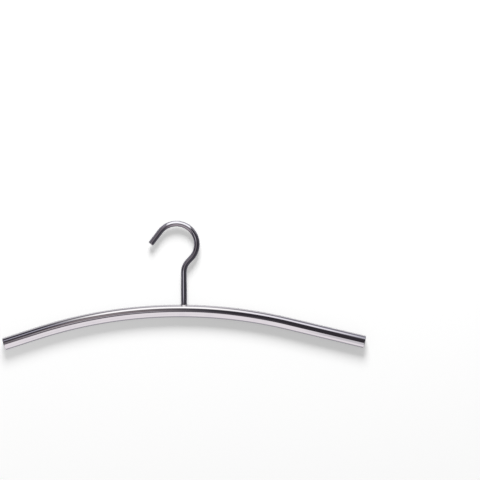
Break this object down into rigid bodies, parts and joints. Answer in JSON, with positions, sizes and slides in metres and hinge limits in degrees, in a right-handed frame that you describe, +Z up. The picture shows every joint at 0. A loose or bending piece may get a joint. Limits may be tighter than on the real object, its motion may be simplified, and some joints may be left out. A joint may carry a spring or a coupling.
{
  "type": "clothes hanger",
  "caption": "Stainless steel clothes hanger: a bowed round tube carries the shoulders of a garment, and a bent rod hook welded to its top hangs it on a rail.",
  "frame": {"origin": "rail seat: the top of the inside of the hook, where the rail bears, in the middle of the rod's thickness", "axes": "+Z up along the stem, +X to the right with the hook's mouth on the left, +Y away from the viewer across the hanger's thickness"},
  "size_m": [0.4396, 0.015, 0.1553],
  "materials": {
    "tube_steel": "mirror polished stainless steel tube, fine polishing lines along it",
    "rod_steel": "polished stainless steel rod",
    "weld_steel": "dressed and polished weld",
    "plug_steel": "ground and polished stainless steel end face"
  },
  "bodies": {
    "root": {"shoulder_tube": "tube_steel", "hook_rod": "rod_steel", "hook_weld": "weld_steel", "end_plug_left": "plug_steel", "end_plug_right": "plug_steel"}
  },
  "joints": []
}
